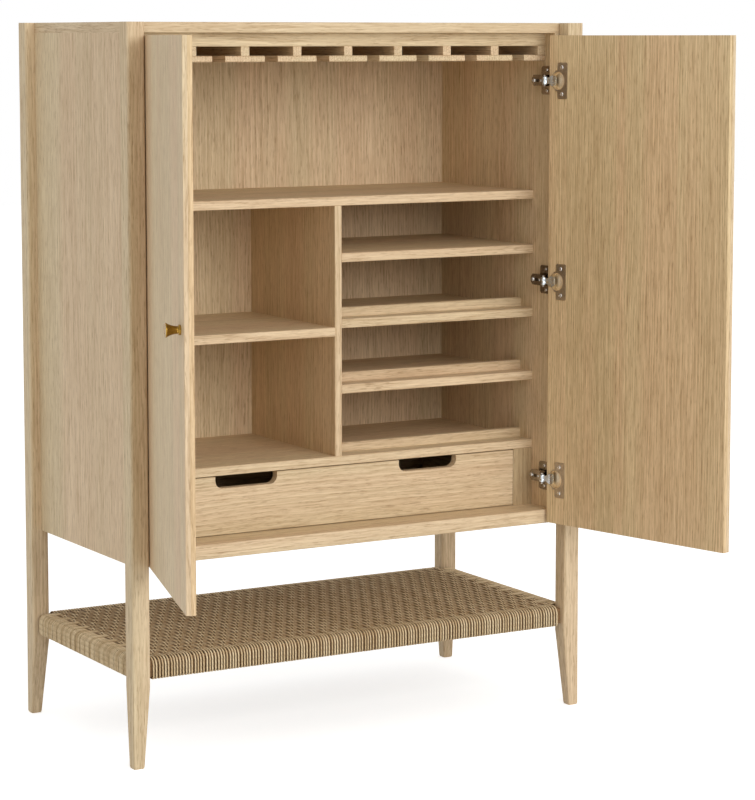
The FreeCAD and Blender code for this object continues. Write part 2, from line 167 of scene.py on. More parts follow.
# Oak: each set of tones is light wood, dark wood and pores.
OAK = ((232, 210, 176), (180, 150, 112), (146, 111, 74))
# The door's inner half: tones painted warmer and darker as the warm light bounced inside the case.
DOOR_INNER_BOUNCE_TONES = ((236, 209, 167), (168, 135, 93), (146, 108, 68))
FILLER_TONES = ((208, 183, 147), (160, 130, 93), (130, 98, 64))
# The shelf rails: dark brown tones painted as the shade seen in the gaps between the cords.
RAIL_SHADE_TONES = ((154, 120, 84), (116, 88, 58), (92, 68, 46))
ROSY = (255, 251, 248)
GREEN_GREY = (250, 252, 247)

# Figures of the grain per metre: two across it and one along it.
WANDER = (4.0, 4.0, 1.5)
LONG_STREAKS = (340.0, 340.0, 4.5)
SHORT_STREAKS = (390.0, 390.0, 19.0)
PORE_DASHES = (450.0, 450.0, 48.0)
BROAD_PATCHES = (11.0, 11.0, 0.8)
COLOUR_DRIFT = (13.0, 13.0, 0.4)
# How far the grain wanders, and its steps from board to board and from leaf to leaf, in metres.
WANDER_REACH = (0.022, 0.022, 0.0)
SEED_STEP = (1.7, 3.1, 5.3)
LEAF_STEP = (0.031, 0.013, 0.9)
# The two axes across the grain, then the one along it.
GRAIN_ORDER = {"X": (1, 2, 0), "Y": (0, 2, 1), "Z": (0, 1, 2)}

# Growth rings, how much each figure darkens the wood, pores and gloss.
RING_WIDTH = 0.0052
RING_JITTER = 1.2
EARLY_END = 0.7
EARLY_SHARE = 0.20
STREAK_SHARE = 2.0
BROAD_SHARE = 0.55
BASE_SHARE = 0.27
PORES_FROM, PORES_FULL = 0.50, 0.68
PORES_EARLY, PORES_LATE = 0.55, 0.45
PORE_SHADE = 0.5
PORE_DEPTH = 0.00018
OAK_SMOOTH, OAK_ROUGH = 0.46, 0.60


def along_grain(s, place, grain, lipped):
    """Coordinates whose third one runs with the grain."""
    parts = s.split(place)
    p = s.join([parts[axis] for axis in GRAIN_ORDER[grain]])
    if not lipped:
        return p
    # The two ends carry a lipping whose grain runs from front to back.
    normal = s.vector("ABSOLUTE", s.add("ShaderNodeNewGeometry").outputs["Normal"])
    end = s.math("GREATER_THAN", s.vector("DOT_PRODUCT", normal, (1.0, 0.0, 0.0)), 0.7)
    choose = s.add("ShaderNodeMix", data_type="VECTOR")
    s.link(end, choose.inputs[0])
    s.link(p, choose.inputs[4])
    s.link(s.join([parts[axis] for axis in GRAIN_ORDER["Y"]]), choose.inputs[5])
    return choose.outputs[1]


def leaf_by_leaf(s, place, p, leaves):
    """Grain coordinates that jump from one veneer leaf to the next."""
    way, seams = leaves
    along = s.vector("DOT_PRODUCT", place, way)
    leaf = 0.0
    for seam in seams:
        leaf = s.math("ADD", leaf, s.math("GREATER_THAN", along, seam))
    return s.vector("ADD", p, s.join([s.math("MULTIPLY", leaf, step) for step in LEAF_STEP]))


def oak(name, grain, pith, lean, seed, leaves=None, lipped=False, tones=OAK, inner=None):
    """Pale oiled oak. Growth rings stand round a pith line that runs with the grain, so faces and ends agree.
    leaves gives a direction and the places along it where one veneer leaf ends and the next begins.
    inner gives a direction, a place along it, and the tones of the wood beyond that place, painted warmer and
    darker as warm bounce light."""
    s = Shader(name)
    place = s.place()
    p = along_grain(s, place, grain, lipped)
    if leaves:
        p = leaf_by_leaf(s, place, p, leaves)
    q = s.vector("ADD", p, tuple(step * seed for step in SEED_STEP))
    # Rings and streaks wander a little along the board.
    wander = s.vector("SUBTRACT", s.noise(q, WANDER, 2.0, 0.5, colour=True), (0.5, 0.5, 0.5))
    wander = s.vector("MULTIPLY", wander, WANDER_REACH)
    turn = s.add("ShaderNodeMapping")
    turn.inputs["Location"].default_value = (-pith[0], -pith[1], 0.0)
    turn.inputs["Rotation"].default_value = (lean[0], lean[1], 0.0)
    s.link(p, turn.inputs["Vector"])
    flat = s.vector("MULTIPLY", s.vector("ADD", turn.outputs[0], wander), (1.0, 1.0, 0.0))
    bent = s.vector("ADD", q, wander)
    # Streaks of three lengths lie side by side, as in cut oak.
    long_streak = s.noise(bent, LONG_STREAKS, 2.0, 0.6)
    short_streak = s.noise(bent, SHORT_STREAKS, 2.0, 0.6)
    dashes = s.noise(bent, PORE_DASHES, 2.0, 0.55)
    radius = s.math("DIVIDE", s.vector("LENGTH", flat), RING_WIDTH)
    year = s.math("FRACT", s.math("ADD", radius, s.math("MULTIPLY", long_streak, RING_JITTER)))
    early = s.span(year, 0.0, EARLY_END, 1.0, 0.0)
    broad = s.noise(bent, BROAD_PATCHES, 3.0, 0.55)
    # Open pores are short dark dashes along the grain, crowded into the early wood.
    crowd = s.math("ADD", s.math("MULTIPLY", early, PORES_EARLY), PORES_LATE)
    pores = s.math("MULTIPLY", s.span(dashes, PORES_FROM, PORES_FULL), crowd)
    streak = s.math("ADD", s.math("MULTIPLY", long_streak, 0.5), s.math("MULTIPLY", short_streak, 0.5))
    depth = s.math("MULTIPLY", early, EARLY_SHARE)
    depth = s.math("ADD", depth, s.math("MULTIPLY", s.math("SUBTRACT", streak, 0.5), STREAK_SHARE))
    depth = s.math("ADD", depth, s.math("MULTIPLY", s.math("SUBTRACT", broad, 0.5), BROAD_SHARE))
    depth = s.math("MINIMUM", s.math("MAXIMUM", s.math("ADD", depth, BASE_SHARE), 0.0), 1.0)
    light, dark, pore = [tint(*tone) for tone in tones]
    # Painted bounce light: beyond the given place the wood takes the warmer, darker tones.
    if inner:
        way, edge, inner_bounce_tones = inner
        beyond = s.math("GREATER_THAN", s.vector("DOT_PRODUCT", place, way), edge)
        pairs = zip((light, dark, pore), inner_bounce_tones)
        light, dark, pore = [s.mix(beyond, outer, tint(*tone)) for outer, tone in pairs]
    colour = s.mix(depth, light, dark)
    colour = s.mix(s.math("MULTIPLY", pores, PORE_SHADE), colour, pore)
    # The colour drifts slowly across the board between rosy and green-grey.
    drift = s.span(s.noise(bent, COLOUR_DRIFT, 1.0, 0.5), 0.36, 0.64)
    colour = s.mix(1.0, colour, s.mix(drift, tint(*ROSY), tint(*GREEN_GREY)), "MULTIPLY")
    s.set(Base_Color=colour, Specular_IOR_Level=0.35)
    s.set(Roughness=s.span(streak, 0.2, 0.8, OAK_SMOOTH, OAK_ROUGH))
    s.bump(s.math("SUBTRACT", s.math("MULTIPLY", streak, 0.25), pores), PORE_DEPTH, 0.6)
    return s.material


# Metal: the noise that counts as a smear, rub marks drawn out along z, and the flange tones of a hinge cup
# and the pale tan painted inside it as a reflection of the wood.
SMEAR_FROM, SMEAR_FULL = 0.3, 0.75
RUB_STRETCH = (9, 9, 0.8)
RUB_DEPTH = 0.00003
CUP_SMEARS = 160.0
FLANGE_TONE, FLANGE_WORN = (190, 181, 169), (170, 161, 149)
CUP_WOOD_REFLECTION_TONE, CUP_WOOD_REFLECTION_WORN = (246, 228, 198), (232, 212, 180)
CUP_START = 0.0003
CUP_DULLER = 0.12


def metal(name, colour, worn, smooth, rough, scale):
    """A plated metal with faint rub marks and uneven polish."""
    s = Shader(name)
    place = s.place()
    smear = s.noise(place, (scale, scale, scale), 3.0, 0.6)
    rubs = s.noise(place, tuple(scale * stretch for stretch in RUB_STRETCH), 2.0, 0.5)
    s.set(Base_Color=s.mix(s.span(smear, SMEAR_FROM, SMEAR_FULL), tint(*colour), tint(*worn)), Metallic=1.0)
    polish = s.math("ADD", smear, s.math("MULTIPLY", rubs, 0.4))
    s.set(Roughness=s.span(polish, 0.45, 0.95, smooth, rough))
    s.bump(rubs, RUB_DEPTH, 0.5)
    return s.material


def cup_metal(name, side):
    """Nickel that is dull on the flange. Inside the cup, below the door's inner face, a paler warm tan is
    painted as the reflection of the wood.
    """
    s = Shader(name)
    out, spot = door_line(side, INTO_CASE, DOOR_INNER_FACE)
    place = s.place()
    below = s.math("LESS_THAN", s.vector("DOT_PRODUCT", place, tuple(out)), out.dot(spot) - CUP_START)
    smear = s.noise(place, (CUP_SMEARS, CUP_SMEARS, CUP_SMEARS), 3.0, 0.6)
    share = s.span(smear, SMEAR_FROM, SMEAR_FULL)
    flange = s.mix(share, tint(*FLANGE_TONE), tint(*FLANGE_WORN))
    # Painted reflection: the warm tan inside the cup stands in for the wood it mirrors.
    inside = s.mix(share, tint(*CUP_WOOD_REFLECTION_TONE), tint(*CUP_WOOD_REFLECTION_WORN))
    s.set(Base_Color=s.mix(below, flange, inside), Metallic=1.0)
    rough = s.span(smear, SMEAR_FROM, SMEAR_FULL, 0.30, 0.40)
    s.set(Roughness=s.math("ADD", rough, s.math("MULTIPLY", below, CUP_DULLER)))
    s.bump(smear, RUB_DEPTH, 0.5)
    return s.material


# Paper cord: tones, the tones of painted shade in its creases, on its strands' sides and on the deck's low
# strands, the twist of its two plies per metre, and where the deck and its hollows lie.
CORD_LIGHT, CORD_DARK = (246, 224, 184), (206, 177, 134)
CREASE_SHADE_TONE, GROOVE_SHADE_TONE, HOLLOW_SHADE_TONE = (142, 112, 76), (104, 76, 46), (122, 90, 57)
CORD_TWIST = 110.0
CORD_PLIES = 2.0
FIBRES = (900.0, 900.0, 900.0)
FLECKS = (280.0, 280.0, 280.0)
CLOUDS = (16.0, 16.0, 16.0)
CREASE_SHADE = 0.4
CREASE_DEPTH = 0.0005
GROOVE_SHADE, GROOVE_SHADE_LESS_ON_FLANK, GROOVE_SHADE_LESS_ON_DECK = 0.64, 0.30, 0.20
DECK_HALF_WIDTH, DECK_HALF_DEPTH = 0.426, 0.206
DECK_FADE = 0.004
FLANK_FROM = 0.435
HOLLOW_FROM, HOLLOW_FULL = 0.1857, 0.1836
HOLLOW_SHADE = 0.62


def paper_cord(name):
    """Twisted paper cord. Its map runs along a strand in metres and round it, and its whole numbers count
    the strands."""
    s = Shader(name)
    along, strand = s.split(s.add("ShaderNodeUVMap", uv_map="strand").outputs[0])[:2]
    round_it = s.math("FRACT", strand)
    own = s.add("ShaderNodeTexWhiteNoise", noise_dimensions="1D")
    s.link(s.math("FLOOR", strand), own.inputs["W"])
    # Two plies wind round each other.
    wind = s.math("ADD", s.math("MULTIPLY", along, CORD_TWIST), s.math("MULTIPLY", round_it, CORD_PLIES))
    ply = s.math("ABSOLUTE", s.math("SUBTRACT", s.math("FRACT", wind), 0.5))
    crease = s.span(s.math("MULTIPLY", ply, 2.0), 0.62, 1.0)
    place = s.place()
    fibre = s.noise(place, FIBRES, 3.0, 0.6)
    cloud = s.noise(place, CLOUDS, 2.0, 0.5)
    fleck = s.noise(place, FLECKS, 2.0, 0.6)
    tone = s.math("ADD", s.math("MULTIPLY", own.outputs[0], 0.4), s.math("MULTIPLY", fibre, 0.2))
    tone = s.math("ADD", tone, s.math("MULTIPLY", fleck, 0.7))
    tone = s.math("ADD", tone, s.math("MULTIPLY", cloud, 0.2))
    colour = s.mix(s.span(tone, 0.40, 1.10), tint(*CORD_LIGHT), tint(*CORD_DARK))
    # Painted shade darkens the creases between the two plies.
    colour = s.mix(s.math("MULTIPLY", crease, CREASE_SHADE), colour, tint(*CREASE_SHADE_TONE))
    # Painted shade: the sides of each strand, away from its outer crest, turn dark brown.
    turned = s.math("SUBTRACT", s.math("FRACT", s.math("ADD", round_it, 0.25)), 0.5)
    groove_shade = s.span(s.math("ABSOLUTE", turned), 0.08, 0.23)
    # Painted shade darkens the strands' sides, most on the front wraps. On the deck the low strands lie in
    # painted brown shade.
    x, y, z = s.split(place)
    wide, deep = s.math("ABSOLUTE", x), s.math("ABSOLUTE", y)
    past_side = s.math("SUBTRACT", wide, DECK_HALF_WIDTH)
    past_front = s.math("SUBTRACT", deep, DECK_HALF_DEPTH)
    deck = s.span(s.math("MAXIMUM", past_side, past_front), DECK_FADE, -DECK_FADE)
    flank = s.math("GREATER_THAN", wide, FLANK_FROM)
    strength = s.math("SUBTRACT", GROOVE_SHADE, s.math("MULTIPLY", flank, GROOVE_SHADE_LESS_ON_FLANK))
    strength = s.math("SUBTRACT", strength, s.math("MULTIPLY", deck, GROOVE_SHADE_LESS_ON_DECK))
    colour = s.mix(s.math("MULTIPLY", groove_shade, strength), colour, tint(*GROOVE_SHADE_TONE))
    # Painted shade: deck strands turn brown the lower they lie between the crossings.
    hollow_shade = s.math("MULTIPLY", s.span(z, HOLLOW_FROM, HOLLOW_FULL), deck)
    colour = s.mix(s.math("MULTIPLY", hollow_shade, HOLLOW_SHADE), colour, tint(*HOLLOW_SHADE_TONE))
    s.set(Base_Color=colour, Roughness=s.span(fibre, 0.3, 0.7, 0.66, 0.82), Specular_IOR_Level=0.25)
    s.bump(s.math("SUBTRACT", s.math("MULTIPLY", fibre, 0.3), crease), CREASE_DEPTH, 0.7)
    return s.material


# Boards by the way their grain runs.
BOARDS = {
    "X": ("top_board", "bottom_board", "upper_shelf", "lower_shelf", "left_shelf",
          "wine_shelf_lower", "wine_shelf_upper", "narrow_shelf",
          "bottle_rest_lower", "bottle_rest_middle", "bottle_rest_upper",
          "rack_rail_front", "rack_rail_back", "drawer_front", "drawer_back", "drawer_bottom",
          "shelf_rail_front", "shelf_rail_back"),
    "Y": ("rack_spacers", "rack_slats", "drawer_side_left", "drawer_side_right",
          "drawer_runner_left", "drawer_runner_right", "shelf_rail_left", "shelf_rail_right"),
    "Z": ("post_front_left", "post_front_right", "post_back_left", "post_back_right",
          "side_panel_left", "side_panel_right", "back_panel", "divider",
          "door_left", "door_right", "drawer_filler_left", "drawer_filler_right"),
}
GRAIN = {name: grain for grain, names in BOARDS.items() for name in names}
# Wide panels are cut near the heart: the pith's place across the grain, and how it leans.
HEART = {
    "door_left": ((-0.47, -0.44), (0.010, -0.008)),
    "door_right": ((0.53, -0.42), (-0.012, 0.008)),
    "side_panel_left": ((-0.49, 0.05), (0.010, 0.012)),
    "side_panel_right": ((0.49, -0.03), (0.010, -0.012)),
    "back_panel": ((0.08, 0.29), (0.010, 0.014)),
}
TONES = {
    "drawer_filler_left": FILLER_TONES, "drawer_filler_right": FILLER_TONES,
    "shelf_rail_front": RAIL_SHADE_TONES, "shelf_rail_back": RAIL_SHADE_TONES,
    "shelf_rail_left": RAIL_SHADE_TONES, "shelf_rail_right": RAIL_SHADE_TONES,
}
# Seams between the leaves of a door, measured from its hinge edge.
LEAF_SEAMS = (0.044, 0.181, 0.302)
BOARD_SEED = 0.37


def dress(name, material):
    mesh = nodes[name].data
    mesh.materials.clear()
    mesh.materials.append(material)


def door_leaves(side):
    """Veneer leaves across a door: a narrow one at the hinges, then wide ones."""
    way, edge = door_line(side, FROM_HINGE, DOOR_INNER_FACE)
    return tuple(way), [edge.dot(way) + seam for seam in LEAF_SEAMS]


def door_inner(side):
    """The half of a door's thickness that faces into the case, with tones painted warmer and darker as warm
    bounce light.
    """
    way, middle = door_line(side, INTO_CASE, DOOR_MIDDLE)
    return tuple(way), middle.dot(way), DOOR_INNER_BOUNCE_TONES


def far_heart(count):
    """A pith far outside the board, so that its rings run nearly straight."""
    return (0.9 + 0.13 * (count % 5), 0.7 + 0.09 * (count % 7)), (0.004, 0.005)


for count, (name, grain) in enumerate(sorted(GRAIN.items())):
    heart, lean = HEART.get(name, far_heart(count))
    leaves = inner = None
    if name.startswith("door_"):
        side = name.removeprefix("door_")
        leaves, inner = door_leaves(side), door_inner(side)
    lipped = name == "top_board"
    tones = TONES.get(name, OAK)
    dress(name, oak("oak_" + name, grain, heart, lean, BOARD_SEED * count, leaves, lipped, tones, inner))
steel = metal("hinge_nickel", (168, 158, 146), (140, 130, 118), smooth=0.12, rough=0.24, scale=160.0)
bright_steel = metal("screw_nickel", (226, 226, 226), (200, 199, 197), smooth=0.14, rough=0.28, scale=300.0)
link_steel = metal("link_nickel", (204, 211, 216), (184, 190, 194), smooth=0.20, rough=0.34, scale=200.0)
# The arm slots: dark colour painted as the shade in their openings.
slot_shade_metal = metal("slot_painted_shade", (92, 82, 72), (70, 61, 52), smooth=0.30, rough=0.45, scale=220.0)
brass = metal("knob_brass", (168, 132, 60), (134, 102, 42), smooth=0.16, rough=0.30, scale=130.0)
cord = paper_cord("paper_cord")
for side in ("left", "right"):
    for part in ("hinge_plates_", "hinge_arms_"):
        dress(part + side, steel)
    dress("hinge_links_" + side, link_steel)
    dress("hinge_cups_" + side, cup_metal("cup_nickel_" + side, side))


# Shapes.
SHARP_EDGE = math.radians(38)


def settle(name, mesh, material, body, replaces=()):
    """A mesh becomes a piece that rides on a body."""
    mesh.materials.append(material)
    obj = bpy.data.objects.new(name, mesh)
    bpy.context.scene.collection.objects.link(obj)
    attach(obj, body)
    if replaces:
        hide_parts(*replaces)


def piece(name, shape, material, body, replaces=()):
    verts, faces = shape
    mesh = bpy.data.meshes.new(name)
    mesh.from_pydata([tuple(v) for v in verts], [], [tuple(f) for f in faces])
    mesh.update()
    mesh.polygons.foreach_set("use_smooth", [True] * len(mesh.polygons))
    mesh.set_sharp_from_angle(angle=SHARP_EDGE)
    settle(name, mesh, material, body, replaces)


def gathered(shapes):
    """Several shapes, each a list of points and one of faces, as one."""
    verts, faces = [], []
    for v, f in shapes:
        start = len(verts)
        verts.extend(v)
        faces.extend([tuple(i + start for i in face) for face in f])
    return verts, faces


def placed(shape, matrix, mirror=False):
    verts = [matrix @ Vector(v) for v in shape[0]]
    faces = shape[1]
    if mirror:
        verts = [Vector((-v.x, v.y, v.z)) for v in verts]
        faces = [tuple(reversed(f)) for f in faces]
    return verts, faces


def rings(loops, capped=True):
    """A skin over loops of equal count."""
    n = len(loops[0])
    verts = [v for loop in loops for v in loop]
    faces = []
    for j in range(len(loops) - 1):
        for k in range(n):
            a, b = j * n + k, j * n + (k + 1) % n
            faces.append((a, b, b + n, a + n))
    if capped:
        faces.append(tuple(reversed(range(n))))
        faces.append(tuple(range((len(loops) - 1) * n, len(loops) * n)))
    return verts, faces


def circle(radius, height, n):
    angles = [2 * math.pi * k / n for k in range(n)]
    return [(radius * math.cos(t), radius * math.sin(t), height) for t in angles]


def cross_outline(reach, half, height):
    """A plus sign with points half way along each edge, 24 in all, starting near angle 0."""
    corner = [(reach, half), (half, half), (half, reach), (-half, reach), (-half, half), (-reach, half),
              (-reach, -half), (-half, -half), (-half, -reach), (half, -reach), (half, -half), (reach, -half)]
    loop = []
    for k, c in enumerate(corner):
        b = corner[k - 1]
        loop.append(((b[0] + c[0]) / 2, (b[1] + c[1]) / 2, height))
        loop.append((c[0], c[1], height))
    return loop


# A screw head as shares of its radius and height, from its foot to its crown.
HEAD_PROFILE = ((0.97, 0.0), (1.0, 0.12), (1.0, 0.45), (0.95, 0.70), (0.84, 0.90), (0.70, 1.0))
RECESS_TOP = (0.58, 0.13, 1.0)
RECESS_FLOOR = (0.50, 0.10, 0.25)
HEAD_POINTS = 24


def screw_head(radius, height, shank=0.0, shank_radius=0.0):
    """A round head with a cross recess, standing on z 0."""
    loops = []
    if shank:
        loops += [circle(shank_radius, h, HEAD_POINTS) for h in (-shank, 0.0)]
    loops += [circle(radius * r, height * h, HEAD_POINTS) for r, h in HEAD_PROFILE]
    for reach, half, h in (RECESS_TOP, RECESS_FLOOR):
        loops.append(cross_outline(radius * reach, radius * half, height * h))
    return rings(loops)


def oblong(reach, half, height, steps=8):
    """A slot outline with round ends, long in y."""
    loop = []
    for sign in (1, -1):
        for k in range(steps + 1):
            t = math.radians(180 * k / steps)
            loop.append((sign * half * math.cos(t), sign * (reach - half + half * math.sin(t)), height))
    return loop


def lathe(profile, n, bored=False):
    """Profile of (radius, height) pairs turned round z. A bored one closes on its own first ring."""
    verts, faces = rings([circle(r, h, n) for r, h in profile], capped=not bored)
    if bored:
        last = (len(profile) - 1) * n
        faces += [(last + k, last + (k + 1) % n, (k + 1) % n, k) for k in range(n)]
    return verts, faces


IN_METRES = Matrix.Scale(MM, 4)
# Turns that point a shape's z to the front, to the back and, on the right-hand side, to the middle.
FACE_OUT = Matrix.Rotation(math.radians(90), 4, "X")
FACE_BACK = Matrix.Rotation(math.radians(-90), 4, "X")
FACE_IN = Matrix.Rotation(math.radians(-90), 4, "Y")

# Turned brass knobs: foot, flared neck and domed front.
KNOB_FOOT = [(8.2, 0.0), (8.2, 3.1), (7.9, 3.6), (7.2, 3.8), (6.2, 3.9)]
KNOB_NECK = [(6.0, 4.3), (6.1, 6.5), (6.4, 9.0), (6.9, 11.5), (7.6, 14.0), (8.5, 16.5), (9.5, 18.8)]
KNOB_RIM = [(10.6, 20.8), (11.3, 21.9), (11.6, 22.6), (11.55, 23.2), (11.2, 23.7), (10.4, 24.0)]
KNOB_DOME = [(8.2, 24.2), (5.6, 24.32), (2.8, 24.38)]
KNOB_POINTS = 56
KNOB_SPOT = (0.0355, DOOR_OUTER_FACE, 0.780)


def knob(side):
    profile = [(r * MM, h * MM) for r, h in KNOB_FOOT + KNOB_NECK + KNOB_RIM + KNOB_DOME]
    spot = swung(side) @ (Matrix.Translation(KNOB_SPOT) @ FACE_OUT)
    shape = placed(lathe(profile, KNOB_POINTS), spot, side == "left")
    piece("knob_turned_" + side, shape, brass, "door_" + side, replaces=("knob_" + side,))


# Hinge screws on the right-hand side: radius and height of the heads, and where they stand.
ADJUSTER = screw_head(4.2 * MM, 2.2 * MM, shank=2.0 * MM, shank_radius=2.4 * MM)
PLATE_SCREW = screw_head(3.5 * MM, 1.5 * MM)
CUP_SCREW = screw_head(3.9 * MM, 1.0 * MM)
ARM_SCREW = screw_head(2.8 * MM, 1.2 * MM)
ADJUSTER_X, ADJUSTER_Y = 0.3939, -0.155
PLATE_SCREW_X, PLATE_SCREW_Y, PLATE_SCREW_RISE = 0.407, -0.178, 0.0185
CUP_SCREW_X, CUP_SCREW_Y, CUP_SCREW_RISE = HINGE_EDGE - 0.031, -0.2013, 0.024
ARM_X, ARM_SCREW_Y, ARM_SLOT_Y = 0.394, -0.1765, -0.1668
ARM_SCREW_TURN = 0.6
SCREW_TURN = 0.35
# The raised rim of the slot in an arm: reach, half width and height, from outside to inside.
SLOT_RIM = ((5.2, 3.0, 0.0), (5.2, 3.0, 0.4), (4.9, 2.7, 0.6), (4.3, 2.1, 0.6), (4.2, 2.0, 0.1))
ARM_SLOT = placed(rings([oblong(*loop) for loop in SLOT_RIM]), IN_METRES)


def hinge_screws(side):
    """The adjusters turn. The other screws hold plates, cups and arms."""
    left = side == "left"
    plates, cups, arms, slots = [], [], [], []
    for level, z in HINGES.items():
        spot = Matrix.Translation((ADJUSTER_X, ADJUSTER_Y, z)) @ FACE_IN
        joint = "hinge_screw_%s_%s" % (side, level)
        piece("adjuster_%s_%s" % (side, level), placed(ADJUSTER, spot, left), bright_steel, joint,
              replaces=(joint,))
        for up in (-1, 1):
            turn = Matrix.Rotation(SCREW_TURN * up + z, 4, "Z")
            height = z + up * PLATE_SCREW_RISE
            spot = Matrix.Translation((PLATE_SCREW_X, PLATE_SCREW_Y, height)) @ FACE_IN @ turn
            plates.append(placed(PLATE_SCREW, spot, left))
            height = z + up * CUP_SCREW_RISE
            spot = Matrix.Translation((CUP_SCREW_X, CUP_SCREW_Y, height)) @ FACE_BACK @ turn
            cups.append(placed(CUP_SCREW, swung(side) @ spot, left))
        turn = Matrix.Rotation(ARM_SCREW_TURN, 4, "Z")
        spot = Matrix.Translation((ARM_X, ARM_SCREW_Y, z)) @ FACE_IN @ turn
        arms.append(placed(ARM_SCREW, spot, left))
        slots.append(placed(ARM_SLOT, Matrix.Translation((ARM_X, ARM_SLOT_Y, z)) @ FACE_IN, left))
    piece("plate_screws_" + side, gathered(plates), bright_steel, "cabinet")
    piece("cup_screws_" + side, gathered(cups), bright_steel, "door_" + side)
    piece("arm_screws_" + side, gathered(arms), bright_steel, "cabinet")
    piece("arm_slots_" + side, gathered(slots), slot_shade_metal, "cabinet")


# Hinge links: a rolled barrel on the pin and a plate that spreads into the cup.
# They are drawn in millimetres with the right door at rest.
LINK_PIN = Vector((387.6, -199.8))
LINK_BEND = Vector((394.8, -214.5))
LINK_TIP = Vector((402.8, -213.7))
LINK_TURN = -0.229
LINK_BEND_RUN = 5.0
LINK_INNER, LINK_EDGE, LINK_OUTER, LINK_CROWN = 0.1, -0.5, -1.1, -0.25
LINK_INNER_BEVEL, LINK_OUTER_BEVEL = 0.4, 0.5
# Half widths of the plate at shares of its length.
LINK_WIDTHS = ((0.13, 5.4), (0.30, 5.5), (0.42, 6.4), (0.54, 8.8), (0.66, 9.8),
               (0.80, 9.6), (0.92, 8.9), (0.97, 7.6), (1.0, 5.4))
BARREL_OUTSIDE = [(3.6, -7.2), (4.6, -6.7), (5.0, -5.7), (5.0, -2.2), (4.8, -1.9),
                  (4.8, 1.9), (5.0, 2.2), (5.0, 5.7), (4.6, 6.7), (3.6, 7.2)]
BARREL_BORE = [(1.65, 7.2), (1.65, -7.2)]
BARREL_POINTS = 32


def link_plate():
    """The plate in millimetres about z 0."""
    leg, foot = (LINK_BEND - LINK_PIN).length, (LINK_TIP - LINK_BEND).length
    first, second = (LINK_BEND - LINK_PIN).normalized(), (LINK_TIP - LINK_BEND).normalized()
    loops = []
    for share, half in LINK_WIDTHS:
        run = share * (leg + foot)
        spot = LINK_PIN + first * run if run < leg else LINK_BEND + second * (run - leg)
        ease = min(max((run - leg) / LINK_BEND_RUN + 0.5, 0.0), 1.0)
        way = (first * (1 - ease) + second * ease).normalized()
        across = Vector((-way.y, way.x))
        inner, edge, outer = [spot + across * offset for offset in (LINK_INNER, LINK_EDGE, LINK_OUTER)]
        crown = outer + across * LINK_CROWN
        inner_half, outer_half = half - LINK_INNER_BEVEL, half - LINK_OUTER_BEVEL
        loops.append([(*inner, -inner_half), (*inner, inner_half), (*edge, half), (*outer, outer_half),
                      (*crown, 0.0), (*outer, -outer_half), (*edge, -half)])
    return rings(loops)


def hinge_links(side):
    pin = Matrix.Translation((*LINK_PIN, 0.0))
    barrel = placed(lathe(BARREL_OUTSIDE + BARREL_BORE, BARREL_POINTS, bored=True), pin)
    link = gathered([barrel, link_plate()])
    turn = pin @ Matrix.Rotation(LINK_TURN * (REST[side] - REST["right"]), 4, "Z") @ pin.inverted()
    links = []
    for z in HINGES.values():
        spot = IN_METRES @ Matrix.Translation((0.0, 0.0, z / MM)) @ turn
        links.append(placed(link, spot, side == "left"))
    piece("link_plates_" + side, gathered(links), link_steel, "links_" + side,
          replaces=("hinge_links_" + side,))


for make in (knob, hinge_screws, hinge_links):
    for side in ("left", "right"):
        make(side)

# The woven shelf, in millimetres: pairs of warp strands cross fours of weft strands.
# Every strand wraps its two rails and runs back under the deck.
STRAND = 1.75
STRAND_SIDES = 6
PAIRS = 74
PAIR_PITCH = 11.1
IN_PAIR = 5.4
PAIR_LEAN = 0.25
ROWS = 19
ROW_PITCH = 20.35
IN_ROW = 4.3
FIRST_X = -PAIR_PITCH * (PAIRS - 1) / 2
FIRST_Y = -ROW_PITCH * (ROWS - 1) / 2
TOP = 186.0 - STRAND
LOW = 148.0 + STRAND
WARP_SWING = 2.6
WEFT_SWING = 1.1
MIDDLE = TOP - WARP_SWING
ON_RAIL = TOP - 0.2
UNDER = {"front": TOP - 9.5, "side": TOP - 13.5}
RAIL_OUT = {"front": 222.0 - STRAND, "side": 442.0 - STRAND}
RAIL_IN = {"front": 193.4 + STRAND, "side": 413.4 + STRAND}
SHOULDER = {"front": 13.0, "side": 11.0}
CORNER = 3.6
CORNER_ARC = [math.radians(a) for a in range(0, 91, 30)]
SHOULDER_ARC = [math.radians(a) for a in range(0, 91, 18)]
FACE_MIDDLE = (LOW + TOP) / 2 - 2
# The bend from the run under the deck down the inner face: distance from the face, and drop.
UNDER_BEND = ((8.0, 0.0), (2.0, 1.0), (0.0, 4.0))
# Deck points per crossing, and where a strand leaves its rail, in pitches from the first crossing.
WARP_STEPS = 5
WEFT_STEPS = 3
WARP_ENTRY = 0.72
WEFT_ENTRY = 1.1
# How strands fan out as they climb a rail, and how they stray.
FAN = 0.8
FAN_FROM, FAN_MOST = 0.2, 0.6
SLACK = 0.3
STRAY = 0.06
WEAVE_SEED = 7
BROAD_CREST = 1.7
MAP_MARGIN = 0.001


def wrap(rail):
    """Half of a strand's return as (reach, height) points: below the deck, round a rail and up its face."""
    outer, inner, under, shoulder = RAIL_OUT[rail], RAIL_IN[rail], UNDER[rail], SHOULDER[rail]
    points = [(0.0, under)] + [(inner - away, under - drop) for away, drop in UNDER_BEND]
    for t in CORNER_ARC:
        points.append((inner + CORNER * (1 - math.cos(t)), LOW + CORNER * (1 - math.sin(t))))
    for t in CORNER_ARC:
        points.append((outer - CORNER * (1 - math.sin(t)), LOW + CORNER * (1 - math.cos(t))))
    points.append((outer, FACE_MIDDLE))
    for t in SHOULDER_ARC:
        points.append((outer - shoulder * (1 - math.cos(t)), TOP - shoulder * (1 - math.sin(t))))
    return points


def swell(phase):
    """A cosine with broad crests, so strands lie flat where they pass over."""
    return math.tanh(BROAD_CREST * math.cos(math.pi * phase)) / math.tanh(BROAD_CREST)


def climb(z):
    """How far a strand has fanned out on its way up a rail."""
    return min(max((z - LOW) / (TOP - LOW) - FAN_FROM, 0.0), FAN_MOST)


